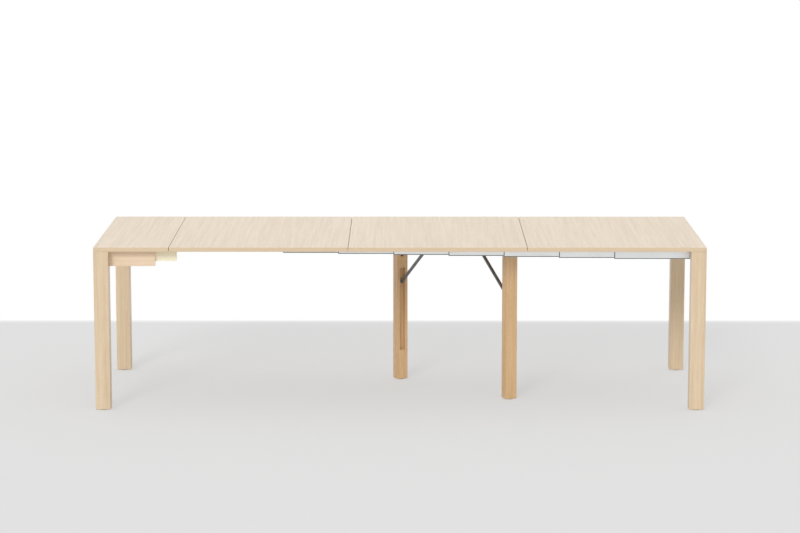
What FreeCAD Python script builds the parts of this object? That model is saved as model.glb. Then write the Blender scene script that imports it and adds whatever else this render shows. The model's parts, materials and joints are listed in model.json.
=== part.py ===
"""Extendable console table, drawn out to its full length.

Frame: origin on the floor under the middle of the drawn-out top, X along the length with the console end at
-X, Y from the front to the rear, Z up. Millimetres and degrees.
"""

import FreeCAD
import Part
import os
import re

# Driving sizes, one spreadsheet cell each.
SIZES = {
    # boards
    "table_height": 750,
    "table_depth": 1000,
    "console_length": 340,
    "leaf_length": 808,
    "leaf_gap": 2,
    "board": 20,
    "edge_round": 2,
    # end legs and aprons
    "leg_side": 68,
    "glide_height": 3,
    "glide_diameter": 50,
    "apron_height": 73,
    "apron_thickness": 20,
    "apron_setback": 50,
    "apron_length": 207,
    "end_apron_setback": 5,
    "dowel_diameter": 10,
    "dowel_length": 40,
    "dowel_play": 0.05,
    "apron_dowel_spacing": 36,
    "end_rail_dowel_spacing": 22,
    # sleeves and guides of the console end
    "sleeve_web": 10,
    "sleeve_floor": 7.5,
    "sleeve_floor_width": 70,
    "sleeve_length": 347,
    "sleeve_floor_inset": 10,
    "sleeve_play": 1,
    "guide_width": 22,
    "guide_length": 310,
    # telescopic rails
    "rail_height": 44.6,
    "rail_wall": 3.2,
    "rail_gap": 0.8,
    "rail_overlap": 91,
    "small_flange": 31,
    "flange_step": 8,
    "rib_height": 2,
    "rib_bite": 0.8,
    "rib_play": 0.4,
    "rib_drop": 3,
    "closing_room": 75,
    "far_room": 24,
    # far end
    "end_rail_height": 44,
    "end_rail_thickness": 22,
    "end_rail_setback": 23,
    "bracket_thickness": 3,
    "bracket_width": 30,
    "bracket_height": 28,
    "bracket_reach": 20,
    # locating blocks under the leaves
    "block_length": 60,
    "block_width": 20,
    "block_height": 8,
    "block_inset": 140,
    "block_offset": 265,
    # cross beams and middle legs
    "beam_width": 40,
    "beam_height": 22,
    "beam_play": 0.5,
    "mid_turn": 22,
    "mid_leg_side": 53.5,
    "mid_leg_from_rail": 183,
    "mid_leg_a_inset": 31.5,
    "mid_leg_b_inset": 56,
    "mid_leg_head_a": 36,
    "mid_leg_head_b": 60,
    "mid_glide_diameter": 36,
    "hinge_drop": 116,
    "hinge_pin_diameter": 10,
    "fork_slot": 16,
    "fork_wall": 7,
    "fork_depth": 15,
    "tongue_width": 26,
    "tongue_play": 0.2,
    "pin_play": 0.05,
    "pin_cover": 6,
    "plate_thickness": 4,
    "plate_length": 60,
    "plate_margin": 2,
    # folding braces and their catches
    "brace_drop": 139,
    "brace_pivot_depth": 9.5,
    "brace_length_a": 328,
    "brace_length_b": 350,
    "brace_tilt_a": 33.1,
    "brace_tilt_b": 28.4,
    "brace_width": 13,
    "brace_thickness": 8,
    "brace_eye_diameter": 12,
    "brace_pin_diameter": 6,
    "brace_slot_width": 24,
    "brace_slot_depth": 16.5,
    "brace_slot_above": 69,
    "brace_slot_below": 2,
    "notch_inset": 12,
    "notch_depth": 1.2,
    "keeper_diameter": 6,
    "keeper_play": 0.3,
    "ear_width": 16,
    "ear_thickness": 2.5,
    "ear_play": 0.5,
    "ear_foot": 6,
}

STAGES = 10
LEAVES = 3
STAGE_OF_LEG = {"a": 5, "b": 4}

# Places worked out from the driving sizes, one formula cell each.
PLACES = {
    "half_length": f"(console_length + {LEAVES} * (leaf_length + leaf_gap)) / 2",
    "half_depth": "table_depth / 2",
    "seat": "table_height - board",
    "leg_face": "half_depth - leg_side",
    "apron_low": "seat - apron_height",
    "apron_out": "half_depth - apron_setback",
    "apron_in": "apron_out - apron_thickness",
    "end_apron_out": "end_apron_setback - half_length",
    "end_apron_in": "end_apron_out + apron_thickness",
    "sleeve_in": "apron_in - sleeve_web",
    "rail_out": "sleeve_in - sleeve_play",
    "rail_low": "seat - rail_height",
    "rail_pitch": "rail_wall + rail_gap",
    "sleeve_top": "rail_low - sleeve_play",
    "sleeve_low": "sleeve_top - sleeve_floor",
    "small_tip": f"rail_out - {STAGES - 1} * rail_pitch - small_flange",
    "small_end": "end_apron_in + closing_room",
    "far_face": "half_length - end_rail_setback - end_rail_thickness",
    "far_low": "seat - end_rail_height",
    "rail_step": f"(far_face - small_end - rail_overlap - far_room) / {STAGES}",
    "rail_length": "rail_step + rail_overlap",
    "rib_axis": "seat - rib_drop",
    "rib_reach": "rail_gap + rib_bite",
    "groove_depth": "rib_bite + rib_play",
    "groove_height": "rib_height + 2 * rib_play",
    "half_leg": "mid_leg_side / 2",
    "mid_leg_place": "rail_out - mid_leg_from_rail",
    "hinge_height": "seat - hinge_drop",
    "brace_height": "hinge_height - brace_drop",
    "brace_place": "half_leg - brace_pivot_depth",
    "brace_slot_high": "brace_height + brace_slot_above",
    "half_beam": "beam_width / 2",
    "half_plate": "half_beam - plate_margin",
    "half_tongue": "fork_slot / 2 - tongue_play",
    "pin_end": "half_leg - pin_cover",
    "keeper_above": "(brace_thickness + keeper_diameter) / 2 + keeper_play - notch_depth",
    "ear_in": "brace_width / 2 + ear_play",
    "ear_out": "ear_in + ear_thickness",
}
for leg in STAGE_OF_LEG:
    PLACES |= {
        f"brace_slot_low_{leg}": f"brace_height - brace_length_{leg} - brace_slot_below",
        f"keeper_along_{leg}": f"brace_length_{leg} - notch_inset",
        f"run_{leg}": f"cos(brace_tilt_{leg} * 1deg)",
        f"rise_{leg}": f"sin(brace_tilt_{leg} * 1deg)",
        f"keeper_place_{leg}": f"brace_place + keeper_along_{leg} * run_{leg} - keeper_above * rise_{leg}",
        f"keeper_height_{leg}": f"brace_height + keeper_along_{leg} * rise_{leg} + keeper_above * run_{leg}",
    }

X_AXIS = FreeCAD.Vector(1, 0, 0)
Y_AXIS = FreeCAD.Vector(0, 1, 0)
Z_AXIS = FreeCAD.Vector(0, 0, 1)

doc = FreeCAD.newDocument("extendable_console_table")
sub_parts = []


# Sheets and building blocks


def cells(text):
    """Give each size and place in an expression the name of the sheet that holds it."""

    def owner(word):
        name = word.group(0)
        if name in SIZES:
            return "sizes." + name
        if name in PLACES:
            return "places." + name
        return name

    return re.sub(r"[a-z]\w*", owner, text)


def fill_sheet(name, contents):
    """Make a sheet with one alias per row."""
    sheet = doc.addObject("Spreadsheet::Sheet", name)
    for row, (alias, content) in enumerate(contents.items(), start=1):
        sheet.set(f"A{row}", alias)
        sheet.set(f"B{row}", content)
        sheet.setAlias(f"B{row}", alias)


def bind(item, **expressions):
    """Bind properties of an object to expressions."""
    for name, text in expressions.items():
        item.setExpression(name, cells(text))


def locate(item, x, y, z):
    """Bind the place of an object to three expressions."""
    for axis, text in zip("xyz", (x, y, z)):
        item.setExpression(f"Placement.Base.{axis}", cells(text))


def span(box, x, y, z):
    """Stretch a box from a low to a high expression along each axis."""
    sides = [f"({high}) - ({low})" for low, high in (x, y, z)]
    bind(box, Length=sides[0], Width=sides[1], Height=sides[2])
    locate(box, x[0], y[0], z[0])
    return box


def block(x, y, z):
    return span(doc.addObject("Part::Box", "block"), x, y, z)


def turn_rod(cylinder, axis, start, length, diameter):
    """Lay a cylinder along an axis from its start point."""
    cylinder.Placement = FreeCAD.Placement(FreeCAD.Vector(), FreeCAD.Rotation(Z_AXIS, axis))
    bind(cylinder, Radius=f"({diameter}) / 2", Height=length)
    locate(cylinder, *start)
    return cylinder


def rod(axis, start, length, diameter):
    return turn_rod(doc.addObject("Part::Cylinder", "rod"), axis, start, length, diameter)


def group(pieces):
    compound = doc.addObject("Part::Compound", "group")
    compound.Links = pieces
    return compound


def fuse(pieces):
    union = doc.addObject("Part::MultiFuse", "fuse")
    union.Shapes = pieces
    union.Refine = True
    return union


def cut(base, tools):
    difference = doc.addObject("Part::Cut", "cut")
    difference.Base = base
    difference.Tool = group(tools)
    return difference


def mirror(piece):
    """Copy a front piece to the rear."""
    copy = doc.addObject("Part::Mirroring", "mirror")
    copy.Source = piece
    copy.Normal = Y_AXIS
    return copy


def both_sides(pieces):
    return group(pieces + [mirror(piece) for piece in pieces])


def rotate(piece, axis, angle, x, y, z):
    """Turn a piece about its origin, then carry it to its place."""
    carrier = group([piece])
    carrier.Placement = FreeCAD.Placement(FreeCAD.Vector(), FreeCAD.Rotation(axis, 1))
    carrier.setExpression("Placement.Rotation.Angle", cells(angle))
    locate(carrier, x, y, z)
    return carrier


def rounded_body(name, x, y, z):
    """A solid-wood blank with all its edges eased."""
    body = doc.addObject("PartDesign::Body", name)
    blank = span(body.newObject("PartDesign::AdditiveBox", name + "_blank"), x, y, z)
    doc.recompute()
    easing = body.newObject("PartDesign::Fillet", name + "_easing")
    easing.Base = (blank, [f"Edge{number + 1}" for number in range(len(blank.Shape.Edges))])
    bind(easing, Radius="edge_round")
    return body


def pocket(body, x, y, z):
    span(body.newObject("PartDesign::SubtractiveBox", body.Name + "_slot"), x, y, z)


def bore(body, axis, start, length, diameter):
    turn_rod(body.newObject("PartDesign::SubtractiveCylinder", body.Name + "_bore"), axis, start, length, diameter)


def keep(label, item):
    """Name a finished sub-part."""
    item.Label = label
    sub_parts.append(item)
    return item


def across(half):
    """A span centred on zero."""
    return f"-({half})", half


def plus(low, length):
    """A span from a low end."""
    return low, f"{low} + {length}"


# Dowels


def dowel_pair(axis, x, y, z, spacing):
    """The axis and start points of two dowels, one above the other."""
    return [(axis, (x, y, f"{z} {sign} {spacing} / 2")) for sign in "-+"]


def dowels(places):
    return [rod(axis, start, "dowel_length", "dowel_diameter") for axis, start in places]


def dowel_bores(places):
    return [rod(axis, start, "dowel_length", "dowel_diameter + 2 * dowel_play") for axis, start in places]


def bore_for_dowels(body, places):
    for axis, start in places:
        bore(body, axis, start, "dowel_length", "dowel_diameter + 2 * dowel_play")


# Boards


def leaf_span(number):
    pitch = "(leaf_length + leaf_gap)"
    left = f"console_length - half_length + leaf_gap + {number - 1} * {pitch}"
    return plus(left, "leaf_length")


def make_boards():
    depth = across("half_depth")
    thickness = ("seat", "table_height")
    top = rounded_body("console_top", plus("-half_length", "console_length"), depth, thickness)
    keep("console_top", top)
    for number in range(1, LEAVES + 1):
        name = f"leaf_{number}"
        left, right = leaf_span(number)
        keep(name, rounded_body(name, (left, right), depth, thickness))
        blocks = []
        for x in (f"{left} + block_inset", f"{right} - block_inset"):
            along = (f"{x} - block_length / 2", f"{x} + block_length / 2")
            beside = ("-block_offset - block_width / 2", "block_width / 2 - block_offset")
            blocks.append(block(along, beside, ("seat - block_height", "seat")))
        keep(f"{name}_blocks", both_sides(blocks))


# Console end


def make_console_end():
    left = "-half_length"
    leg_inside = f"{left} + leg_side"
    apron_middle = "apron_low + apron_height / 2"
    below_top = ("apron_low", "seat")
    front_dowels = dowel_pair(
        X_AXIS, f"{leg_inside} - dowel_length / 2", "-apron_out + apron_thickness / 2", apron_middle,
        "apron_dowel_spacing",
    )
    end_dowels = dowel_pair(
        Y_AXIS, "end_apron_out + apron_thickness / 2", "-leg_face - dowel_length / 2", apron_middle,
        "apron_dowel_spacing",
    )
    leg = rounded_body(
        "leg_front_left", plus(left, "leg_side"), ("-half_depth", "-leg_face"), ("glide_height", "seat")
    )
    bore_for_dowels(leg, front_dowels + end_dowels)
    keep("leg_front_left", leg)
    keep("leg_rear_left", mirror(leg))
    keep("glides_left", both_sides([glide(f"{left} + leg_side / 2")]))

    apron = cut(
        block(plus(leg_inside, "apron_length"), ("-apron_out", "-apron_in"), below_top), dowel_bores(front_dowels)
    )
    keep("apron_front", apron)
    keep("apron_rear", mirror(apron))
    end_bores = both_sides(dowel_bores(end_dowels))
    end_apron = cut(block(("end_apron_out", "end_apron_in"), across("leg_face"), below_top), [end_bores])
    keep("apron_end", end_apron)
    keep("leg_dowels_left", both_sides(dowels(front_dowels + end_dowels)))

    sleeve_along = plus("end_apron_in", "sleeve_length")
    web = block(sleeve_along, ("-apron_in", "-sleeve_in"), ("sleeve_low", "seat"))
    floor_along = plus("end_apron_in", "sleeve_length - sleeve_floor_inset")
    floor = block(floor_along, plus("-apron_in", "sleeve_floor_width"), ("sleeve_low", "sleeve_top"))
    sleeve = keep("sleeve_front", fuse([web, floor]))
    keep("sleeve_rear", mirror(sleeve))

    guide_along = plus("end_apron_in", "guide_length")
    guide_out = f"rail_out - {STAGES} * rail_pitch"
    guide_low = f"rail_low + {STAGES} * rail_pitch"
    bar = block(guide_along, plus(f"-({guide_out})", "guide_width"), (guide_low, "seat"))
    guide = keep("guide_front", fuse([bar, rib(guide_along, guide_out)]))
    keep("guide_rear", mirror(guide))


def glide(x):
    """Round pad under the middle of a front end leg."""
    return rod(Z_AXIS, (x, "leg_side / 2 - half_depth", "0"), "glide_height", "glide_diameter")


# Telescopic rails


def rail_left(stage):
    return f"small_end + {STAGES - stage} * rail_step"


def rail_face(stage):
    """Distance of a rail's outer face from the middle plane."""
    return f"rail_out - {stage - 1} * rail_pitch"


def rail_bottom(stage):
    return f"rail_low + {stage - 1} * rail_pitch"


def flange_tip(stage):
    """Distance of a rail's flange edge from the middle plane."""
    return f"small_tip - {STAGES - stage} * flange_step"


def rib(along, face):
    """Keeper rib that runs in the groove of the next larger rail."""
    beside = (f"-({face}) - rib_reach", f"-({face})")
    return block(along, beside, ("rib_axis - rib_height / 2", "rib_axis + rib_height / 2"))


def make_rail(stage):
    """An angle whose web stands outside and whose flange points inwards."""
    left = rail_left(stage)
    along = (left, "far_face") if stage == 1 else plus(left, "rail_length")
    face = rail_face(stage)
    bottom = rail_bottom(stage)
    inner = f"rail_wall - ({face})"
    web = block(along, (f"-({face})", inner), (bottom, "seat"))
    flange = block(along, (f"-({face})", f"-({flange_tip(stage)})"), plus(bottom, "rail_wall"))
    solids = [web, flange]
    if stage > 1:
        solids.append(rib(along, face))
    groove = block(
        along, (f"{inner} - groove_depth", f"{inner} + rail_gap"),
        ("rib_axis - groove_height / 2", "rib_axis + groove_height / 2"),
    )
    rail = keep(f"rail_front_{stage}", cut(fuse(solids), [groove]))
    keep(f"rail_rear_{stage}", mirror(rail))


# Far end


def make_far_end():
    legs_along = ("half_length - leg_side", "half_length")
    rail_along = plus("far_face", "end_rail_thickness")
    far_dowels = dowel_pair(
        Y_AXIS, "far_face + end_rail_thickness / 2", "-leg_face - dowel_length / 2",
        "far_low + end_rail_height / 2", "end_rail_dowel_spacing",
    )
    leg = rounded_body("leg_front_right", legs_along, ("-half_depth", "-leg_face"), ("glide_height", "seat"))
    bore_for_dowels(leg, far_dowels)
    keep("leg_front_right", leg)
    keep("leg_rear_right", mirror(leg))
    keep("glides_right", both_sides([glide("half_length - leg_side / 2")]))
    end_bores = both_sides(dowel_bores(far_dowels))
    keep("end_rail", cut(block(rail_along, across("leg_face"), ("far_low", "seat")), [end_bores]))
    keep("leg_dowels_right", both_sides(dowels(far_dowels)))

    web_inner = "rail_wall - rail_out"
    upright = plus("rail_low + rail_wall", "bracket_height")
    on_end_rail = block(("far_face - bracket_thickness", "far_face"), plus(web_inner, "bracket_width"), upright)
    on_web = block(("far_face - bracket_reach", "far_face"), plus(web_inner, "bracket_thickness"), upright)
    keep("rail_brackets", both_sides([fuse([on_end_rail, on_web])]))


# Middle legs, in a frame whose X is the folding direction


def make_middle_leg(letter):
    stage = STAGE_OF_LEG[letter]
    left = rail_left(stage)
    beam_low = f"{rail_bottom(stage)} + rail_wall"
    if letter == "a":
        place = (f"{left} + mid_leg_a_inset", "mid_leg_place", "0")
        angle = "270 + mid_turn"
        pin_start = "-pin_end"
    else:
        place = (f"{left} + rail_length - mid_leg_b_inset", "-mid_leg_place", "0")
        angle = "90 + mid_turn"
        pin_start = "-half_leg"

    def stand(piece):
        return rotate(piece, Z_AXIS, angle, *place)

    beam_blank = stand(block(across("table_depth"), across("half_beam"), plus(beam_low, "beam_height")))
    beam_reach = across(f"{flange_tip(stage + 1)} - beam_play")
    beam = doc.addObject("Part::Common", "beam")
    beam.Base = beam_blank
    beam.Tool = block(plus(left, "rail_length"), beam_reach, plus(beam_low, "beam_height"))
    keep(f"cross_beam_{letter}", beam)

    plate_low = f"{beam_low} - plate_thickness"
    keep(f"leg_tongue_{letter}", stand(make_tongue(plate_low, beam_low)))
    keep(f"brace_catch_{letter}", stand(make_catch(letter, plate_low, beam_low)))

    leg_along = ("glide_height", f"hinge_height + mid_leg_head_{letter}")
    leg = rounded_body(f"mid_leg_{letter}", across("half_leg"), across("half_leg"), leg_along)
    shape_middle_leg(letter, leg, pin_start)
    leg.Placement = FreeCAD.Placement(FreeCAD.Vector(), FreeCAD.Rotation(Z_AXIS, 1))
    leg.setExpression("Placement.Rotation.Angle", cells(angle))
    locate(leg, *place)
    keep(f"mid_leg_{letter}", leg)

    pins = [
        rod(Y_AXIS, ("0", pin_start, "hinge_height"), "half_leg + pin_end", "hinge_pin_diameter"),
        rod(Y_AXIS, ("brace_place", pin_start, "brace_height"), "half_leg + pin_end", "brace_pin_diameter"),
    ]
    keep(f"pins_{letter}", stand(group(pins)))
    pad = rod(Z_AXIS, ("0", "0", "0"), "glide_height", "mid_glide_diameter")
    keep(f"mid_glide_{letter}", stand(pad))
    tilted = rotate(make_brace(letter), -Y_AXIS, f"brace_tilt_{letter}", "brace_place", "0", "brace_height")
    keep(f"brace_{letter}", stand(tilted))


def shape_middle_leg(letter, leg, pin_start):
    """Fork for the tongue, slot for the folded brace and bores for the two pins."""
    open_side = "half_leg + edge_round"
    head = f"hinge_height + mid_leg_head_{letter} + edge_round"
    pocket(leg, ("fork_wall - half_leg", open_side), across("fork_slot / 2"), ("hinge_height - fork_depth", head))
    pocket(
        leg, ("half_leg - brace_slot_depth", open_side), across("brace_slot_width / 2"),
        (f"brace_slot_low_{letter}", "brace_slot_high"),
    )
    reach = "half_leg + pin_end"
    bore(leg, Y_AXIS, ("0", pin_start, "hinge_height"), reach, "hinge_pin_diameter + 2 * pin_play")
    bore(leg, Y_AXIS, ("brace_place", pin_start, "brace_height"), reach, "brace_pin_diameter + 2 * pin_play")


def make_tongue(plate_low, beam_low):
    """Hinge plate under the beam, rounded about the hinge pin."""
    plate = block(across("plate_length / 2"), across("half_plate"), (plate_low, beam_low))
    stem = block(across("tongue_width / 2"), across("half_tongue"), ("hinge_height", plate_low))
    eye = rod(Y_AXIS, ("0", "-half_tongue", "hinge_height"), "2 * half_tongue", "tongue_width")
    hole = rod(
        Y_AXIS, ("0", "-half_tongue", "hinge_height"), "2 * half_tongue", "hinge_pin_diameter + 2 * pin_play"
    )
    return cut(fuse([plate, stem, eye]), [hole])


def make_catch(letter, plate_low, beam_low):
    """Stirrup under the beam: two ears with a keeper pin that seats in the brace's notch."""
    place = f"keeper_place_{letter}"
    height = f"keeper_height_{letter}"
    along = (f"{place} - plate_length / 2", f"{place} + plate_length / 2")
    plate = block(along, across("half_plate"), (plate_low, beam_low))
    ear_along = (f"{place} - ear_width / 2", f"{place} + ear_width / 2")
    ear_up = (f"{height} - ear_foot", plate_low)
    ears = [
        block(ear_along, ("-ear_out", "-ear_in"), ear_up),
        block(ear_along, ("ear_in", "ear_out"), ear_up),
    ]
    keeper = rod(Y_AXIS, (place, "-ear_out", height), "2 * ear_out", "keeper_diameter")
    return fuse([plate, *ears, keeper])


def make_brace(letter):
    """Flat bar along X from its eye at the origin, with the keeper's notch in its upper face."""
    half_width = "brace_width / 2"
    bar_end = f"brace_length_{letter} - brace_thickness / 2"
    bar = block(("0", bar_end), across(half_width), across("brace_thickness / 2"))
    eye = rod(Y_AXIS, ("0", f"-{half_width}", "0"), "brace_width", "brace_eye_diameter")
    tip = rod(Y_AXIS, (bar_end, f"-{half_width}", "0"), "brace_width", "brace_thickness")
    hole = rod(Y_AXIS, ("0", f"-{half_width}", "0"), "brace_width", "brace_pin_diameter + 2 * pin_play")
    notch = rod(
        Y_AXIS, (f"keeper_along_{letter}", f"-{half_width}", "keeper_above"), "brace_width",
        "keeper_diameter + 2 * keeper_play",
    )
    return cut(fuse([bar, eye, tip]), [hole, notch])


# Build, check and write


def check(items):
    """Stop at an object that failed, or a sub-part without a sound solid."""
    for item in doc.Objects:
        if "Invalid" in item.State or "Error" in item.State:
            raise RuntimeError(f"{item.Label} failed: {item.State}")
    for item in items:
        shape = item.Shape
        if shape.isNull() or not shape.isValid() or not shape.Solids:
            raise RuntimeError(f"{item.Label} has no sound solid")


fill_sheet("sizes", {alias: str(number) for alias, number in SIZES.items()})
fill_sheet("places", {alias: "=" + cells(text) for alias, text in PLACES.items()})
doc.recompute()
make_boards()
make_console_end()
for stage in range(1, STAGES + 1):
    make_rail(stage)
make_far_end()
for letter in STAGE_OF_LEG:
    make_middle_leg(letter)
doc.recompute()
check(sub_parts)
os.makedirs("parts", exist_ok=True)
for item in sub_parts:
    item.Shape.exportStep(f"parts/{item.Label}.step")
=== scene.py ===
"""Finishes, small fittings and studio of the extendable console table, laid out as a Blender add-on."""

import json
import math

import bmesh
import bpy
from bpy.props import FloatProperty, FloatVectorProperty, IntProperty, PointerProperty
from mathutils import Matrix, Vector


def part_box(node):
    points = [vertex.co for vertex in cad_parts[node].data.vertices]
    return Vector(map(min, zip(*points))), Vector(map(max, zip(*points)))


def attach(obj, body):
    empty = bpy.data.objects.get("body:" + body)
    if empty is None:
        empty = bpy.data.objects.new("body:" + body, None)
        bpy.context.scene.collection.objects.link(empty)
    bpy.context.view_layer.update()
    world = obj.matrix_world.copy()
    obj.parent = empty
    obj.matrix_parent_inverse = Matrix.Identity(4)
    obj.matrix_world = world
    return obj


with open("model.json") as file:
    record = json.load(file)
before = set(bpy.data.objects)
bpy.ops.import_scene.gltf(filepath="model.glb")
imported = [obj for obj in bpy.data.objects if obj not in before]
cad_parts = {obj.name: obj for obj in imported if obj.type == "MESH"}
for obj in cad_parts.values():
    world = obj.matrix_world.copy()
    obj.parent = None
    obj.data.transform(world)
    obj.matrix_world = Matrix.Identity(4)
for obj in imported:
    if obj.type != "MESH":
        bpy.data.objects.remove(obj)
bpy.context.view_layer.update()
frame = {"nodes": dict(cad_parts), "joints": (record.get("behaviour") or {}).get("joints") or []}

bl_info = {
    "name": "Extendable console table",
    "version": (1, 0, 0),
    "blender": (4, 5, 0),
    "location": "View3D > Sidebar > Console table",
    "description": "Finishes, small fittings and studio for an extendable console table",
    "category": "Object",
}

SIDES = ("front", "rear")
STAGES = range(1, 11)
LEAVES = (1, 2, 3)
STAGE_OF_LEG = {"a": 5, "b": 4}
GRAIN_AXIS = {"X": 0, "Y": 1, "Z": 2}
MILLIMETRE = 0.001


def rail_body(stage):
    return "far_end" if stage == 1 else f"stage_{stage}"


def from_screen(red, green, blue):
    """Linear colour of a 0 to 255 screen colour, by the sRGB curve."""

    def linear(level):
        part = level / 255
        return part / 12.92 if part <= 0.04045 else ((part + 0.055) / 1.055) ** 2.4

    return linear(red), linear(green), linear(blue)


def colour(name, description, screen):
    return FloatVectorProperty(
        name=name, description=description, subtype="COLOR", size=3, min=0, max=1,
        default=from_screen(*screen),
    )


def length(name, description, millimetres):
    return FloatProperty(
        name=name, description=description, unit="LENGTH", min=0, precision=4,
        default=millimetres * MILLIMETRE,
    )


def share(name, description, default):
    return FloatProperty(
        name=name, description=description, subtype="FACTOR", min=0, max=1, default=default
    )


def angle(name, description, degrees):
    return FloatProperty(
        name=name, description=description, subtype="ANGLE", default=math.radians(degrees)
    )


def position(name, description, metres):
    return FloatVectorProperty(
        name=name, description=description, subtype="TRANSLATION", size=3, default=metres
    )


# Settings


class WoodSettings(bpy.types.PropertyGroup):
    """Colours of the oak and of the plain wood inside."""

    oak_pale: colour("Pale oak", "Palest streaks of the oak", (240, 220, 191))
    oak_dark: colour("Dark oak", "Darkest streaks of the oak", (212, 188, 155))
    oak_pore: colour("Oak pores", "Open pores of the oak", (182, 150, 114))
    leg_pale: colour("Pale end-leg oak", "Palest streaks of the end legs", (233, 212, 182))
    leg_dark: colour("Dark end-leg oak", "Darkest streaks of the end legs", (205, 180, 146))
    # Painted shade: the middle legs' oak is darker and browner than the end legs' to stand for the shade
    # under the table.
    middle_pale_painted_shade: colour("Pale middle-leg oak", "Palest streaks of the middle legs", (229, 194, 148))
    middle_dark_painted_shade: colour("Dark middle-leg oak", "Darkest streaks of the middle legs", (199, 159, 112))
    middle_pore_painted_shade: colour("Middle-leg pores", "Open pores of the middle legs", (160, 115, 71))
    # Painted light: the aprons' oak is paler than the legs' to offset the shade under the overhanging
    # top.
    apron_pale_painted_light: colour("Pale apron oak", "Palest streaks of the oak of the aprons", (243, 220, 192))
    apron_dark_painted_light: colour("Dark apron oak", "Darkest streaks of the oak of the aprons", (223, 195, 164))
    # The plain wood is pale raw wood, lifted close to white as painted light against the shade under the
    # top.
    plain_pale_painted_light: colour("Pale plain wood", "Palest streaks of sleeves, guides and beams", (255, 250, 224))
    plain_dark_painted_light: colour("Dark plain wood", "Darkest streaks of sleeves, guides and beams", (252, 238, 205))
    plain_pore: colour("Plain wood flecks", "Short flecks in the plain wood", (205, 178, 142))
    roughness: share("Roughness", "Middle roughness of the lacquer", 0.46)
    plain_roughness: share("Plain roughness", "Middle roughness of the plain wood", 0.62)
    # The darker band is partly the edge band's own tone and partly painted shade on the boards' upright
    # edges.
    band_shade: share("Band shade", "How far the bands on the boards' edges turn to the dark oak", 0.75)
    board_contrast: share("Board contrast", "How strongly the streaks show on the boards", 0.8)
    leg_contrast: share("Leg contrast", "How strongly the streaks show on legs and aprons", 0.7)


class MetalSettings(bpy.types.PropertyGroup):
    """Colours of the rails, the painted steel and the plated steel."""

    rail: colour("Rail", "Satin aluminium of the rails", (250, 252, 253))
    painted: colour("Painted steel", "Dark grey paint of braces, catches and hinge plates", (98, 98, 99))
    plated: colour("Plated steel", "Zinc plated brackets, pins and screws", (186, 187, 186))
    plastic: colour("Plastic", "Glides under the legs", (40, 37, 34))
    # The tape's dark colour is partly the plastic's own and partly painted shade at the foot and the left
    # end of each rail.
    tape: colour("Slide tape", "Dark plastic that the rails slide on", (100, 101, 102))


class RailTrimSettings(bpy.types.PropertyGroup):
    """Sizes of the plastic slide tapes and end trims on the rails, which are dark partly as painted
    shade.
    """

    tape_height: length("Tape height", "Height of the slide tape at the foot of each rail", 3.2)
    tape_thickness: length("Tape thickness", "Thickness of tape and trim, less than the rails' gap", 0.4)
    trim_width: length("End trim width", "Width of the upright trim at the left end of each rail", 4.0)
    setback: length("Setback", "Distance of the tape from the rail's edges", 0.4)
    easing: share("Easing", "Easing of the edges as a share of the thickness", 0.3)
    rib_room: length("Rib room", "Room for the keeper rib at the top of a rail", 4.4)


class ScrewSettings(bpy.types.PropertyGroup):
    """Sizes and places of the screw heads."""

    diameter: length("Head diameter", "Diameter of a screw head", 7.2)
    height: length("Head height", "Height of a screw head", 2.2)
    crown: share("Crown", "Diameter of the crown as a share of the head", 0.72)
    socket: share("Socket", "Diameter of the socket as a share of the crown", 0.55)
    socket_depth: share("Socket depth", "Depth of the socket as a share of the head's height", 0.6)
    sides: IntProperty(
        name="Sides", description="Number of sides of a screw head", min=6, max=48, default=20
    )
    plate_thickness: length("Plate", "Thickness of the hinge plates and catch plates", 4)
    plate_along: length("Plate along", "Distance of a plate's screws from its middle, along the fold", 23)
    plate_across: length("Plate across", "Distance of a plate's screws from its middle, crosswise", 12)
    beam_inset: length("Beam inset", "Distance of a beam's screws from its end", 6)
    beam_across: length("Beam across", "Distance of a beam's screws from its middle line", 11)
    block_end: length("Block end", "Distance of a block's middle from the outer end of the blocks", 30)
    block_side: length("Block side", "Distance of a block's middle from the outer side of the blocks", 10)
    block_along: length("Block along", "Distance of a block's screws from its middle", 18)
    bracket_thickness: length("Bracket", "Thickness of the brackets", 3)
    bracket_inset: length("Bracket inset", "Distance of the end rail's screws from the outside", 22)
    bracket_rise: length("Bracket rise", "Distance of the end rail's screws from the middle", 8)
    bracket_edge: length("Bracket edge", "Distance of the rail's screw from the bracket's edge", 6)


class SpacerSettings(bpy.types.PropertyGroup):
    """Sizes of the spacer sleeves beside the foot of each brace."""

    diameter: length("Sleeve diameter", "Outer diameter of a spacer sleeve", 10.0)
    bore: length("Sleeve bore", "Bore of a spacer sleeve, a little wider than the brace pin", 6.2)
    inner: length("Inner end", "Distance of a sleeve's inner end from the middle of the brace", 6.8)
    outer: length("Outer end", "Distance of a sleeve's outer end from the middle of the brace", 11.8)
    sides: IntProperty(
        name="Sides", description="Number of sides of a sleeve", min=8, max=64, default=32
    )


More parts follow.
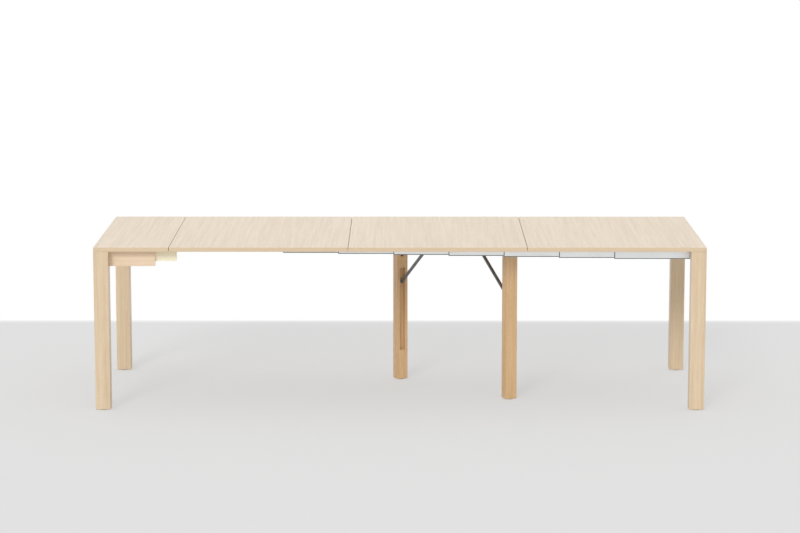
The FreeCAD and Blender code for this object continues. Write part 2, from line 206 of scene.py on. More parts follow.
class StudioSettings(bpy.types.PropertyGroup):
    """Camera, light and floor."""

    camera_place: position("Camera place", "Place of the camera", (0.0182, -12.5653, 2.5916))
    camera_pitch: angle("Camera pitch", "Angle that the camera looks down", 9.08)
    camera_yaw: angle("Camera yaw", "Angle that the camera turns to the left", 0.083)
    lens: FloatProperty(
        name="Lens", description="Focal length in millimetres", min=10, max=500, default=121.76
    )
    sensor: FloatProperty(
        name="Sensor", description="Width of the camera's sensor in millimetres", min=1, default=36
    )
    view_reach: length("View reach", "Greatest distance that the camera sees", 200000)
    floor: colour("Floor", "Pale floor", (228, 228, 228))
    floor_reach: length("Floor reach", "Distance of the floor's sides from the origin", 20000)
    floor_edge: length("Floor edge", "Distance behind the origin where the floor turns white", 1768)
    floor_blend: length("Floor blend", "Distance before and behind that edge over which it turns", 50)
    floor_glow: share("Floor glow", "How far the camera sees the floor without its shadows", 0.6)
    light_level: share("Level light", "Strength of the room's light at the height of the table", 0.32)
    light_above: share("Light above", "Strength of the room's light straight above", 1.0)
    key_place: position("Key place", "Place that the key light comes from", (-2.7, -8.2, 4.4))
    key_strength: FloatProperty(
        name="Key light", description="Strength of the soft key light", min=0, default=1.1
    )
    key_spread: angle("Key spread", "Angle across the soft key light", 18)
    fill_place: position("Fill place", "Place of the large low lamp in front", (0, -8, 1.2))
    fill_width: length("Fill width", "Width of the low lamp", 7000)
    fill_height: length("Fill height", "Height of the low lamp", 2000)
    fill_watts: FloatProperty(
        name="Fill light", description="Power of the low lamp", unit="POWER", min=0, default=60
    )


# Node helpers


def new_material(name):
    material = bpy.data.materials.new(name)
    material.use_nodes = True
    return material, material.node_tree, material.node_tree.nodes["Principled BSDF"]


def object_place(tree):
    return tree.nodes.new("ShaderNodeTexCoord").outputs["Object"]


def stretched(tree, vector, scale):
    node = tree.nodes.new("ShaderNodeMapping")
    node.inputs["Scale"].default_value = scale
    tree.links.new(vector, node.inputs["Vector"])
    return node.outputs["Vector"]


def noise(tree, vector, detail, roughness=0.5, distortion=0.0):
    node = tree.nodes.new("ShaderNodeTexNoise")
    node.inputs["Scale"].default_value = 1
    node.inputs["Detail"].default_value = detail
    node.inputs["Roughness"].default_value = roughness
    node.inputs["Distortion"].default_value = distortion
    tree.links.new(vector, node.inputs["Vector"])
    return node.outputs["Fac"]


def math_node(tree, operation, first, second):
    node = tree.nodes.new("ShaderNodeMath")
    node.operation = operation
    for socket, value in zip(node.inputs, (first, second)):
        if isinstance(value, (int, float)):
            socket.default_value = value
        else:
            tree.links.new(value, socket)
    return node.outputs["Value"]


def spread(tree, value, low, high, to_low=0.0, to_high=1.0):
    """Map a value from one range to another, without leaving the second one."""
    node = tree.nodes.new("ShaderNodeMapRange")
    for name, number in zip(("From Min", "From Max", "To Min", "To Max"), (low, high, to_low, to_high)):
        node.inputs[name].default_value = number
    tree.links.new(value, node.inputs["Value"])
    return node.outputs["Result"]


def weigh(tree, parts):
    """Weighted sum of values."""
    total = None
    for value, weight in parts:
        part = math_node(tree, "MULTIPLY", value, weight)
        total = part if total is None else math_node(tree, "ADD", total, part)
    return total


def mix_colour(tree, factor, first, second):
    node = tree.nodes.new("ShaderNodeMix")
    node.data_type = "RGBA"
    tree.links.new(factor, node.inputs[0])
    for socket, value in zip((node.inputs[6], node.inputs[7]), (first, second)):
        if isinstance(value, bpy.types.NodeSocket):
            tree.links.new(value, socket)
        else:
            socket.default_value = (*value, 1)
    return node.outputs[2]


def shaded(tint, level):
    return [channel * level for channel in tint]


def link_finish(tree, shader, tone, roughness):
    tree.links.new(tone, shader.inputs["Base Color"])
    tree.links.new(roughness, shader.inputs["Roughness"])


def add_bump(tree, shader, height, distance, strength):
    node = tree.nodes.new("ShaderNodeBump")
    node.inputs["Distance"].default_value = distance
    node.inputs["Strength"].default_value = strength
    tree.links.new(height, node.inputs["Height"])
    tree.links.new(node.outputs["Normal"], shader.inputs["Normal"])


def wear(node_names, material):
    """Give CAD nodes a finish through their own material slots."""
    for name in node_names:
        for slot in frame["nodes"][name].material_slots:
            slot.material = material


# Wood

# How often each layer of the figure repeats, per metre, across the grain and along it
BROAD_REPEATS = (6.0, 0.9)
CONTOUR_REPEATS = (9.0, 0.75)
STREAK_REPEATS = (75.0, 1.7)
FIBRE_REPEATS = (520.0, 11.0)
PORE_REPEATS = (1350.0, 60.0)

# Growth rings that the contour noise is cut into, and the weights of the layers in the tone
RING_TURNS = 105
RING_WEIGHT = 0.045
STREAK_WEIGHT = 0.62
FIBRE_WEIGHT = 0.30
PORE_WEIGHT = 0.7

# Half the range of tones from the dark to the pale colour at full contrast
TONE_REACH = 0.155
# Noise values between which a pore opens
PORE_RANGE = (0.60, 0.70)
COAT_ROUGHNESS = 0.4
# Least part of a face's direction that makes it a front or rear edge
EDGE_FACING = 0.7


def band_place(tree):
    """Object place on a board, and the mask of its front and rear edges.

    The edges carry a band with its grain along X, so X and Y change places on them.
    """
    source = tree.nodes.new("ShaderNodeTexCoord")
    split = tree.nodes.new("ShaderNodeSeparateXYZ")
    tree.links.new(source.outputs["Object"], split.inputs["Vector"])
    swapped = tree.nodes.new("ShaderNodeCombineXYZ")
    for target, origin in (("X", "Y"), ("Y", "X"), ("Z", "Z")):
        tree.links.new(split.outputs[origin], swapped.inputs[target])
    facing = tree.nodes.new("ShaderNodeSeparateXYZ")
    tree.links.new(source.outputs["Normal"], facing.inputs["Vector"])
    turned = math_node(tree, "ABSOLUTE", facing.outputs["Y"], 0)
    on_edge = math_node(tree, "GREATER_THAN", turned, EDGE_FACING)
    choose = tree.nodes.new("ShaderNodeMix")
    choose.data_type = "VECTOR"
    tree.links.new(on_edge, choose.inputs[0])
    tree.links.new(source.outputs["Object"], choose.inputs[4])
    tree.links.new(swapped.outputs["Vector"], choose.inputs[5])
    return choose.outputs[1], on_edge


def grain_noise(tree, place, axis, repeats, **look):
    """Noise drawn out along the grain; look is its detail, roughness and distortion."""
    across, along = repeats
    scale = [across] * 3
    scale[GRAIN_AXIS[axis]] = along
    return noise(tree, stretched(tree, place, scale), **look)


def wood_finish(
    name, axis, colours, roughness, contrast, band=0.0, figure=1.0, patches=0.55, lacquer=0.5
):
    """Lacquered wood with its grain along one axis; colours are the pale, the dark and the pore one.

    band is how far a board's edges turn dark, figure and patches weigh the growth rings and the broad
    clouds, and lacquer weighs the clear coat.
    """
    pale, dark, pore = colours
    material, tree, shader = new_material(name)
    shader.inputs["Coat Weight"].default_value = lacquer
    shader.inputs["Coat Roughness"].default_value = COAT_ROUGHNESS
    place, on_edge = band_place(tree) if band else (object_place(tree), None)

    broad = grain_noise(tree, place, axis, BROAD_REPEATS, detail=2)
    contour = grain_noise(
        tree, place, axis, CONTOUR_REPEATS, detail=1.5, roughness=0.45, distortion=0.3
    )
    rings = math_node(tree, "SINE", math_node(tree, "MULTIPLY", contour, RING_TURNS), 0)
    streaks = grain_noise(
        tree, place, axis, STREAK_REPEATS, detail=5, roughness=0.62, distortion=0.25
    )
    fibres = grain_noise(tree, place, axis, FIBRE_REPEATS, detail=3)
    pores = spread(tree, grain_noise(tree, place, axis, PORE_REPEATS, detail=2), *PORE_RANGE)

    tone = weigh(tree, [
        (broad, patches), (rings, RING_WEIGHT * figure), (streaks, STREAK_WEIGHT), (fibres, FIBRE_WEIGHT)
    ])
    middle = (patches + STREAK_WEIGHT + FIBRE_WEIGHT) / 2
    reach = TONE_REACH / contrast
    body = mix_colour(tree, spread(tree, tone, middle - reach, middle + reach), dark, pale)
    # The front and rear edge faces turn towards the dark oak: partly the edge band's own tone, partly
    # painted shade on the upright edges.
    if band:
        body = mix_colour(tree, math_node(tree, "MULTIPLY", on_edge, band), body, dark)
    pore_share = math_node(tree, "MULTIPLY", pores, PORE_WEIGHT * contrast)

    sheen = weigh(tree, [(fibres, 0.16), (pores, 0.10)])
    gloss = spread(tree, sheen, 0.04, 0.24, to_low=roughness - 0.06, to_high=roughness + 0.12)
    link_finish(tree, shader, mix_colour(tree, pore_share, body, pore), gloss)
    raised = math_node(tree, "MULTIPLY", fibres, 0.5)
    sunk = math_node(tree, "MULTIPLY", pores, 0.6)
    relief = math_node(tree, "SUBTRACT", raised, sunk)
    add_bump(tree, shader, relief, distance=0.0002, strength=0.45)
    return material


class TABLE_OT_boards(bpy.types.Operator):
    """Lacquered oak on the console top and the leaves"""

    bl_idname = "console_table.boards"
    bl_label = "Finish boards"

    def execute(self, context):
        wood = context.scene.console_table_wood
        colours = (wood.oak_pale, wood.oak_dark, wood.oak_pore)
        oak = wood_finish(
            "oak_boards", "Y", colours, wood.roughness, wood.board_contrast, band=wood.band_shade,
            figure=0.5, patches=0.2, lacquer=0.9,
        )
        wear(["console_top"] + [f"leaf_{number}" for number in LEAVES], oak)
        return {"FINISHED"}


class TABLE_OT_legs(bpy.types.Operator):
    """Lacquered oak on the end legs and the middle legs, the middle legs' oak darker and browner as
    painted shade under the table
    """

    bl_idname = "console_table.legs"
    bl_label = "Finish legs"

    def execute(self, context):
        wood = context.scene.console_table_wood
        end_colours = (wood.leg_pale, wood.leg_dark, wood.oak_pore)
        end_oak = wood_finish(
            "oak_end_legs", "Z", end_colours, wood.roughness, wood.leg_contrast, figure=0.5, patches=0.3
        )
        wear([f"leg_{side}_{end}" for side in SIDES for end in ("left", "right")], end_oak)
        # Darker, browner colours on the middle legs: painted shade from the table above them.
        middle_painted_shade_colours = (wood.middle_pale_painted_shade, wood.middle_dark_painted_shade, wood.middle_pore_painted_shade)
        middle_painted_shade_oak = wood_finish(
            "oak_middle_legs_painted_shade", "Z", middle_painted_shade_colours, wood.roughness, wood.leg_contrast, figure=0.5,
            patches=0.3, lacquer=0.2,
        )
        wear([f"mid_leg_{letter}" for letter in STAGE_OF_LEG], middle_painted_shade_oak)
        return {"FINISHED"}


class TABLE_OT_aprons(bpy.types.Operator):
    """Lacquered oak on the aprons and the end rail, paler as painted light against the shade under the
    top
    """

    bl_idname = "console_table.aprons"
    bl_label = "Finish aprons"

    def execute(self, context):
        wood = context.scene.console_table_wood
        # Paler colours: painted light that offsets the shade under the top's overhang.
        colours = (wood.apron_pale_painted_light, wood.apron_dark_painted_light, wood.oak_pore)
        lengthwise = wood_finish("oak_side_aprons_painted_light", "X", colours, wood.roughness, wood.leg_contrast)
        wear(["apron_front", "apron_rear"], lengthwise)
        crosswise = wood_finish("oak_end_aprons_painted_light", "Y", colours, wood.roughness, wood.leg_contrast)
        wear(["apron_end", "end_rail"], crosswise)
        return {"FINISHED"}


class TABLE_OT_carriers(bpy.types.Operator):
    """Plain sanded wood on sleeves, guides, beams, blocks and dowels, its paleness partly its own and
    partly painted light
    """

    bl_idname = "console_table.carriers"
    bl_label = "Finish inner wood"

    def execute(self, context):
        wood = context.scene.console_table_wood
        # Pale raw wood, lifted close to white as painted light against the shade under the top.
        colours = (wood.plain_pale_painted_light, wood.plain_dark_painted_light, wood.plain_pore)
        look = (colours, wood.plain_roughness, wood.leg_contrast)
        lengthwise = wood_finish("plain_wood_painted_light_lengthwise", "X", *look, figure=0.4)
        crosswise = wood_finish("plain_wood_painted_light_crosswise", "Y", *look, figure=0.4)
        runners = [f"{kind}_{side}" for kind in ("sleeve", "guide") for side in SIDES]
        wear(runners + [f"leaf_{number}_blocks" for number in LEAVES], lengthwise)
        beams = [f"cross_beam_{letter}" for letter in STAGE_OF_LEG]
        wear(beams + ["leg_dowels_left", "leg_dowels_right"], crosswise)
        return {"FINISHED"}


# Metal and plastic

# How often the soft clouds repeat, per metre, and the level of the darker colour in them
METAL_CLOUDS = 9
METAL_SHADE = 0.86
COAT_CLOUDS = 14
COAT_SHADE = 0.78


def satin_metal(name, tint, lines, roughness):
    """Metal with fine drawn lines; lines is how often they repeat along each axis, per metre."""
    material, tree, shader = new_material(name)
    shader.inputs["Metallic"].default_value = 1
    place = object_place(tree)
    drawn = noise(tree, stretched(tree, place, lines), detail=3, roughness=0.6)
    cloud = noise(tree, stretched(tree, place, [METAL_CLOUDS] * 3), detail=2)
    grey = weigh(tree, [(drawn, 0.6), (cloud, 0.4)])
    tone = mix_colour(tree, spread(tree, grey, 0.35, 0.65), shaded(tint, METAL_SHADE), tint)
    gloss = spread(tree, drawn, 0.3, 0.7, to_low=roughness - 0.07, to_high=roughness + 0.1)
    link_finish(tree, shader, tone, gloss)
    add_bump(tree, shader, drawn, distance=0.00005, strength=0.3)
    return material


def coated(name, tint, roughness, peel):
    """Paint or moulded plastic with a fine peel; peel is how often it repeats, per metre."""
    material, tree, shader = new_material(name)
    place = object_place(tree)
    texture = noise(tree, stretched(tree, place, [peel] * 3), detail=3, roughness=0.55)
    cloud = noise(tree, stretched(tree, place, [COAT_CLOUDS] * 3), detail=2)
    tone = mix_colour(tree, spread(tree, cloud, 0.3, 0.7), shaded(tint, COAT_SHADE), tint)
    gloss = spread(tree, texture, 0.3, 0.7, to_low=roughness - 0.08, to_high=roughness + 0.1)
    link_finish(tree, shader, tone, gloss)
    add_bump(tree, shader, texture, distance=0.0001, strength=0.35)
    return material


class TABLE_OT_rails(bpy.types.Operator):
    """Satin aluminium on the telescopic rails"""

    bl_idname = "console_table.rails"
    bl_label = "Finish rails"

    def execute(self, context):
        metal = context.scene.console_table_metal
        aluminium = satin_metal("rail_aluminium", metal.rail, lines=(3, 2200, 2200), roughness=0.36)
        wear([f"rail_{side}_{stage}" for side in SIDES for stage in STAGES], aluminium)
        return {"FINISHED"}


class TABLE_OT_hardware(bpy.types.Operator):
    """Painted and plated steel on the fittings, and plastic on the glides"""

    bl_idname = "console_table.hardware"
    bl_label = "Finish hardware"

    def execute(self, context):
        metal = context.scene.console_table_metal
        painted = coated("painted_steel", metal.painted, roughness=0.42, peel=900)
        for kind in ("brace", "brace_catch", "leg_tongue"):
            wear([f"{kind}_{letter}" for letter in STAGE_OF_LEG], painted)
        plated = satin_metal("plated_steel", metal.plated, lines=(700, 700, 700), roughness=0.38)
        wear(["rail_brackets", "pins_a", "pins_b"], plated)
        plastic = coated("glide_plastic", metal.plastic, roughness=0.55, peel=1600)
        wear(["glides_left", "glides_right", "mid_glide_a", "mid_glide_b"], plastic)
        return {"FINISHED"}


# Pieces


def to_mesh(shape, name):
    """Mesh data of a shape, which is used up."""
    mesh = bpy.data.meshes.new(name)
    shape.to_mesh(mesh)
    shape.free()
    return mesh


def finished_piece(name, mesh, material, body):
    """Turn mesh data into a piece that rides on a body."""
    piece = bpy.data.objects.new(name, mesh)
    bpy.context.scene.collection.objects.link(piece)
    piece.data.materials.clear()
    piece.data.materials.append(material)
    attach(piece, body)


# Slide tapes, dark partly as painted shade


def add_strip(mesh, low, high, easing):
    """Flat strip with eased edges between two corners."""
    made = bmesh.ops.create_cube(mesh, size=1)["verts"]
    for vertex in made:
        vertex.co = Vector((vertex.co[n] + 0.5) * (high[n] - low[n]) + low[n] for n in range(3))
    edges = list(dict.fromkeys(edge for vertex in made for edge in vertex.link_edges))
    bmesh.ops.bevel(mesh, geom=edges, offset=easing, segments=2, affect="EDGES", profile=0.5)


class TABLE_OT_shade_line_tapes(bpy.types.Operator):
    """Plastic slide tape along the foot of each rail and an upright trim at its left end, dark partly as
    painted shade there
    """

    bl_idname = "console_table.slide_tapes"
    bl_label = "Add slide tapes"

    def execute(self, context):
        trim = context.scene.console_table_trim
        metal = context.scene.console_table_metal
        # Dark plastic, partly painted shade along each rail's foot and at the joint with the next rail.
        plastic = coated("shade_line_tape", metal.tape, roughness=0.5, peel=1400)
        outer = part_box("rail_rear_1")[1].y
        rib_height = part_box("rail_rear_2")[1].z - trim.rib_room
        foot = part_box("rail_rear_1")[0].z
        easing = trim.tape_thickness * trim.easing
        for stage in STAGES:
            shape = bmesh.new()
            low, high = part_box(f"rail_rear_{stage}")
            face = outer - (low.z - foot)
            top = high.z - trim.setback if stage == 1 else rib_height
            for sign in (-1, 1):
                beside = sorted((sign * face, sign * (face + trim.tape_thickness)))
                tape_low = (low.x + trim.trim_width, beside[0], low.z + trim.setback)
                tape_high = (high.x - trim.setback, beside[1], low.z + trim.setback + trim.tape_height)
                add_strip(shape, tape_low, tape_high, easing)
                trim_low = (low.x + trim.setback, beside[0], low.z + trim.setback)
                trim_high = (low.x + trim.trim_width, beside[1], top)
                add_strip(shape, trim_low, trim_high, easing)
            name = f"slide_tapes_{stage}"
            finished_piece(name, to_mesh(shape, name), plastic, rail_body(stage))
        return {"FINISHED"}


# Screws


def screw_tree():
    """Node tree that sets a socket screw head on each point, facing the point's own way."""
    tree = bpy.data.node_groups.new("screw_heads", "GeometryNodeTree")
    face = tree.interface
    face.new_socket("Points", in_out="INPUT", socket_type="NodeSocketGeometry")
    for name in ("Head diameter", "Head height", "Crown", "Socket", "Socket depth"):
        face.new_socket(name, in_out="INPUT", socket_type="NodeSocketFloat")
    face.new_socket("Sides", in_out="INPUT", socket_type="NodeSocketInt")
    face.new_socket("Metal", in_out="INPUT", socket_type="NodeSocketMaterial")
    face.new_socket("Heads", in_out="OUTPUT", socket_type="NodeSocketGeometry")

    def node(kind, **inputs):
        made = tree.nodes.new(kind)
        for name, value in inputs.items():
            socket = made.inputs[name.replace("_", " ")]
            if isinstance(value, bpy.types.NodeSocket):
                tree.links.new(value, socket)
            else:
                socket.default_value = value
        return made

    given = tree.nodes.new("NodeGroupInput").outputs
    radius = math_node(tree, "MULTIPLY", given["Head diameter"], 0.5)
    crown = math_node(tree, "MULTIPLY", radius, given["Crown"])
    head = node(
        "GeometryNodeMeshCone", Vertices=given["Sides"], Radius_Top=crown, Radius_Bottom=radius,
        Depth=given["Head height"],
    )
    head.fill_type = "NGON"
    rim = node(
        "GeometryNodeExtrudeMesh", Mesh=head.outputs["Mesh"], Selection=head.outputs["Top"],
        Offset_Scale=0.0,
    )
    narrowed = node(
        "GeometryNodeScaleElements", Geometry=rim.outputs["Mesh"], Selection=rim.outputs["Top"],
        Scale=given["Socket"],
    )
    depth = math_node(tree, "MULTIPLY", given["Head height"], given["Socket depth"])
    hollow = node(
        "GeometryNodeExtrudeMesh", Mesh=narrowed.outputs["Geometry"], Selection=rim.outputs["Top"],
        Offset_Scale=math_node(tree, "MULTIPLY", depth, -1),
    )
    facing = node("GeometryNodeInputNamedAttribute", Name="facing")
    facing.data_type = "FLOAT_VECTOR"
    aligned = node("FunctionNodeAlignRotationToVector", Vector=facing.outputs["Attribute"])
    aligned.axis = "Z"
    placed = node(
        "GeometryNodeInstanceOnPoints", Points=given["Points"], Instance=hollow.outputs["Mesh"],
        Rotation=aligned.outputs["Rotation"],
    )
    real = node("GeometryNodeRealizeInstances", Geometry=placed.outputs["Instances"])
    metal = node("GeometryNodeSetMaterial", Geometry=real.outputs["Geometry"], Material=given["Metal"])
    tree.links.new(metal.outputs["Geometry"], tree.nodes.new("NodeGroupOutput").inputs["Heads"])
    return tree


def set_screws(tree, name, places, values, material, body):
    """Make one piece with a screw head at each place; a place is a point and the way that it faces."""
    points = bpy.data.meshes.new(name + "_points")
    points.from_pydata([tuple(point) for point, _ in places], [], [])
    facing = points.attributes.new("facing", "FLOAT_VECTOR", "POINT")
    for entry, (_, direction) in zip(facing.data, places):
        entry.vector = direction
    holder = bpy.data.objects.new(name + "_points", points)
    bpy.context.scene.collection.objects.link(holder)
    modifier = holder.modifiers.new("screws", "NODES")
    modifier.node_group = tree
    sockets = {item.name: item.identifier for item in tree.interface.items_tree if item.in_out == "INPUT"}
    for label, value in values.items():
        modifier[sockets[label]] = value
    bpy.context.view_layer.update()
    graph = bpy.context.evaluated_depsgraph_get()
    mesh = bpy.data.meshes.new_from_object(holder.evaluated_get(graph))
    mesh.name = name
    bpy.data.objects.remove(holder)
    finished_piece(name, mesh, material, body)


def middle_of(node):
    low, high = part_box(node)
    return (low + high) / 2


def hinge_line(name):
    """Point and direction of a hinge at rest."""
    joint = next(item for item in frame["joints"] if item["name"] == name)
    return Vector(joint["pos_m"]), Vector(joint["axis"])


def leg_frame(letter):
    """Hinge point, folding direction and crosswise direction of a middle leg."""
    hinge, axis = hinge_line(f"leg_{letter}_fold")
    return hinge, -axis.cross(Vector((0, 0, 1))), -axis


def beam_screws(letter, sizes):
    """Screws of the two plates below a beam, and of the beam's ends above."""
    hinge, fold, crosswise = leg_frame(letter)
    beam_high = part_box(f"cross_beam_{letter}")[1]
    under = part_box(f"leg_tongue_{letter}")[1].z - sizes.plate_thickness - sizes.height / 2
    catch = middle_of(f"brace_catch_{letter}")
    places = []
    for centre in (hinge, catch):
        for along in (-sizes.plate_along, sizes.plate_along):
            for across in (-sizes.plate_across, sizes.plate_across):
                point = centre + fold * along + crosswise * across
                places.append((Vector((point.x, point.y, under)), (0, 0, -1)))
    reach = beam_high.y - sizes.beam_inset
    above = beam_high.z + sizes.height / 2
    for side in (-reach, reach):
        distance = (side - hinge.y) / fold.y
        for across in (-sizes.beam_across, sizes.beam_across):
            point = hinge + fold * distance + crosswise * across
            places.append((Vector((point.x, side, above)), (0, 0, 1)))
    return places


def block_screws(number, sizes):
    """Two screws under each locating block of a leaf."""
    low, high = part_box(f"leaf_{number}_blocks")
    under = low.z - sizes.height / 2
    places = []
    for x in (low.x + sizes.block_end, high.x - sizes.block_end):
        for y in (low.y + sizes.block_side, high.y - sizes.block_side):
            for step in (-sizes.block_along, sizes.block_along):
                places.append((Vector((x + step, y, under)), (0, 0, -1)))
    return places


def bracket_screws(sizes):
    """Two screws into the end rail and one into the rail on each bracket."""
    low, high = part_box("rail_brackets")
    cover = sizes.bracket_thickness + sizes.height / 2
    middle = (low.z + high.z) / 2
    places = []
    for sign in (-1, 1):
        inner = sign * (high.y - sizes.bracket_inset)
        for rise in (-sizes.bracket_rise, sizes.bracket_rise):
            places.append((Vector((high.x - cover, inner, middle + rise)), (-1, 0, 0)))
        beside = sign * (high.y - cover)
        places.append((Vector((low.x + sizes.bracket_edge, beside, middle)), (0, -sign, 0)))
    return places


class TABLE_OT_screws(bpy.types.Operator):
    """Screw heads on hinge plates, catch plates, beams, blocks and brackets"""

    bl_idname = "console_table.screws"
    bl_label = "Add screws"

    def execute(self, context):
        sizes = context.scene.console_table_screws
        tint = context.scene.console_table_metal.plated
        metal = satin_metal("screw_steel", tint, lines=(900, 900, 900), roughness=0.32)
        tree = screw_tree()
        values = {
            "Head diameter": sizes.diameter, "Head height": sizes.height, "Crown": sizes.crown,
            "Socket": sizes.socket, "Socket depth": sizes.socket_depth, "Sides": sizes.sides,
            "Metal": metal,
        }
        for letter, stage in STAGE_OF_LEG.items():
            places = beam_screws(letter, sizes)
            set_screws(tree, f"beam_screws_{letter}", places, values, metal, rail_body(stage))
        for number in LEAVES:
            places = block_screws(number, sizes)
            set_screws(tree, f"block_screws_{number}", places, values, metal, f"loose_leaf_{number}")
        set_screws(tree, "bracket_screws", bracket_screws(sizes), values, metal, "far_end")
        return {"FINISHED"}


# Spacers


def add_sleeve(mesh, centre, axis, ends, radii, sides):
    """Tube around an axis; ends are distances from the centre, radii the inner and the outer one."""
    across = axis.orthogonal().normalized()
    upright = axis.cross(across)
    turns = [2 * math.pi * step / sides for step in range(sides)]
    spokes = [across * math.cos(turn) + upright * math.sin(turn) for turn in turns]
    near, far = ends
    inner, outer = radii
    rings = []
    for end, radius in ((near, inner), (near, outer), (far, outer), (far, inner)):
        rings.append([mesh.verts.new(centre + axis * end + spoke * radius) for spoke in spokes])
    for ring, following in zip(rings, rings[1:] + rings[:1]):
        for step in range(sides):
            mesh.faces.new((ring[step - 1], ring[step], following[step], following[step - 1]))


class TABLE_OT_spacers(bpy.types.Operator):
    """Plated sleeves that keep the foot of each brace in the middle of its slot"""

    bl_idname = "console_table.spacers"
    bl_label = "Add pivot spacers"

    def execute(self, context):
        sizes = context.scene.console_table_spacers
        tint = context.scene.console_table_metal.plated
        metal = satin_metal("spacer_steel", tint, lines=(900, 900, 900), roughness=0.3)
        radii = (sizes.bore / 2, sizes.diameter / 2)
        for letter in STAGE_OF_LEG:
            pivot, axis = hinge_line(f"brace_{letter}_fold")
            shape = bmesh.new()
            for ends in ((sizes.inner, sizes.outer), (-sizes.outer, -sizes.inner)):
                add_sleeve(shape, pivot, axis, ends, radii, sizes.sides)
            bmesh.ops.recalc_face_normals(shape, faces=shape.faces)
            name = f"pivot_spacers_{letter}"
            finished_piece(name, to_mesh(shape, name), metal, f"middle_leg_{letter}")
        return {"FINISHED"}


# Studio

# How often the floor's speckle repeats, per metre, and the level of its darker colour
FLOOR_SPECKLE = 3
FLOOR_SHADE = 0.97


def floor_finish(studio):
    """Pale floor that turns white behind the table for the camera, and keeps the shadow in front."""
    material, tree, shader = new_material("studio_floor")
    speckle = noise(tree, stretched(tree, object_place(tree), [FLOOR_SPECKLE] * 3), detail=2)
    tone = mix_colour(tree, speckle, shaded(studio.floor, FLOOR_SHADE), studio.floor)
    tree.links.new(tone, shader.inputs["Base Color"])
    shader.inputs["Roughness"].default_value = 0.8
    shader.inputs["Specular IOR Level"].default_value = 0.1
    split = tree.nodes.new("ShaderNodeSeparateXYZ")
    tree.links.new(object_place(tree), split.inputs["Vector"])
    edge, blend_width = studio.floor_edge, studio.floor_blend
    beyond = spread(tree, split.outputs["Y"], edge - blend_width, edge + blend_width)
    glow = tree.nodes.new("ShaderNodeEmission")
    tree.links.new(mix_colour(tree, beyond, studio.floor, (1, 1, 1)), glow.inputs["Color"])
    glow_share = math_node(tree, "MAXIMUM", beyond, studio.floor_glow)
    seen = math_node(tree, "MULTIPLY", glow_share, seen_directly(tree))
    blend = tree.nodes.new("ShaderNodeMixShader")
    tree.links.new(seen, blend.inputs["Fac"])
    tree.links.new(shader.outputs["BSDF"], blend.inputs[1])
    tree.links.new(glow.outputs["Emission"], blend.inputs[2])
    tree.links.new(blend.outputs["Shader"], tree.nodes["Material Output"].inputs["Surface"])
    return material


def seen_directly(tree):
    """One for rays of the camera, of reflections and of glass, zero for light on the object."""
    rays = tree.nodes.new("ShaderNodeLightPath").outputs
    reflected = math_node(tree, "MAXIMUM", rays["Is Glossy Ray"], rays["Is Transmission Ray"])
    return math_node(tree, "MAXIMUM", rays["Is Camera Ray"], reflected)


def add_lamp(data, place):
    """Set a lamp at a place, facing the origin and without glare in the lacquer."""
    lamp = bpy.data.objects.new(data.name, data)
    lamp.visible_glossy = False
    lamp.location = place
    lamp.rotation_euler = Vector(place).to_track_quat("Z", "Y").to_euler()
    bpy.context.scene.collection.objects.link(lamp)


def room_strength(tree, studio):
    """White where it is seen directly, elsewhere light that grows from the table's level upwards."""
    direction = tree.nodes.new("ShaderNodeSeparateXYZ")
    tree.links.new(tree.nodes.new("ShaderNodeTexCoord").outputs["Generated"], direction.inputs["Vector"])
    light = spread(tree, direction.outputs["Z"], 0, 1, studio.light_level, studio.light_above)
    rest = math_node(tree, "MULTIPLY", seen_directly(tree), math_node(tree, "SUBTRACT", 1, light))
    return math_node(tree, "ADD", light, rest)


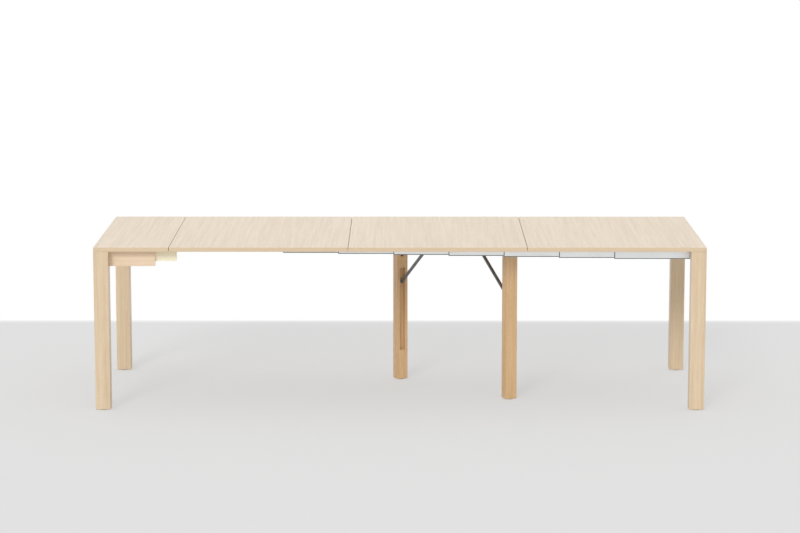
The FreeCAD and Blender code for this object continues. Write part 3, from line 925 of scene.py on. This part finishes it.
class TABLE_OT_studio(bpy.types.Operator):
    """Pale floor, white room, soft lamps and the camera"""

    bl_idname = "console_table.studio"
    bl_label = "Set up studio"

    def execute(self, context):
        scene = context.scene
        studio = scene.console_table_studio
        scene.view_settings.view_transform = "Standard"

        shape = bmesh.new()
        bmesh.ops.create_grid(shape, x_segments=1, y_segments=1, size=studio.floor_reach)
        mesh = to_mesh(shape, "studio_floor")
        mesh.materials.append(floor_finish(studio))
        floor = bpy.data.objects.new("studio_floor", mesh)
        scene.collection.objects.link(floor)

        world = bpy.data.worlds.new("studio_room")
        world.use_nodes = True
        scene.world = world
        tree = world.node_tree
        background = tree.nodes["Background"]
        background.inputs["Color"].default_value = (1, 1, 1, 1)
        tree.links.new(room_strength(tree, studio), background.inputs["Strength"])

        key = bpy.data.lights.new("key_lamp", "SUN")
        key.energy = studio.key_strength
        key.angle = studio.key_spread
        add_lamp(key, studio.key_place)
        fill = bpy.data.lights.new("fill_lamp", "AREA")
        fill.shape = "RECTANGLE"
        fill.size = studio.fill_width
        fill.size_y = studio.fill_height
        fill.energy = studio.fill_watts
        add_lamp(fill, studio.fill_place)

        data = bpy.data.cameras.new("photo_camera")
        data.lens = studio.lens
        data.sensor_width = studio.sensor
        data.clip_end = studio.view_reach
        camera = bpy.data.objects.new("photo_camera", data)
        camera.location = studio.camera_place
        camera.rotation_euler = (math.pi / 2 - studio.camera_pitch, 0, studio.camera_yaw)
        scene.collection.objects.link(camera)
        scene.camera = camera
        return {"FINISHED"}


class TABLE_PT_console_table(bpy.types.Panel):
    """Settings and steps of the console table"""

    bl_idname = "TABLE_PT_console_table"
    bl_label = "Console table"
    bl_space_type = "VIEW_3D"
    bl_region_type = "UI"
    bl_category = "Console table"

    def draw(self, context):
        for step in STEPS:
            self.layout.operator(step.bl_idname)
        for name in SETTINGS:
            group = getattr(context.scene, name)
            box = self.layout.box()
            for label in group.__annotations__:
                box.prop(group, label)


SETTINGS = {
    "console_table_wood": WoodSettings,
    "console_table_metal": MetalSettings,
    "console_table_trim": RailTrimSettings,
    "console_table_screws": ScrewSettings,
    "console_table_spacers": SpacerSettings,
    "console_table_studio": StudioSettings,
}

STEPS = (
    TABLE_OT_boards, TABLE_OT_legs, TABLE_OT_aprons, TABLE_OT_carriers, TABLE_OT_rails, TABLE_OT_hardware,
    TABLE_OT_shade_line_tapes, TABLE_OT_screws, TABLE_OT_spacers, TABLE_OT_studio,
)


def register():
    for name, group in SETTINGS.items():
        bpy.utils.register_class(group)
        setattr(bpy.types.Scene, name, PointerProperty(type=group))
    for item in STEPS + (TABLE_PT_console_table,):
        bpy.utils.register_class(item)


def unregister():
    for item in reversed(STEPS + (TABLE_PT_console_table,)):
        bpy.utils.unregister_class(item)
    for name, group in SETTINGS.items():
        delattr(bpy.types.Scene, name)
        bpy.utils.unregister_class(group)


def main():
    register()
    bpy.ops.console_table.boards()
    bpy.ops.console_table.legs()
    bpy.ops.console_table.aprons()
    bpy.ops.console_table.carriers()
    bpy.ops.console_table.rails()
    bpy.ops.console_table.hardware()
    bpy.ops.console_table.slide_tapes()
    bpy.ops.console_table.screws()
    bpy.ops.console_table.spacers()
    bpy.ops.console_table.studio()


if __name__ == "__main__":
    main()
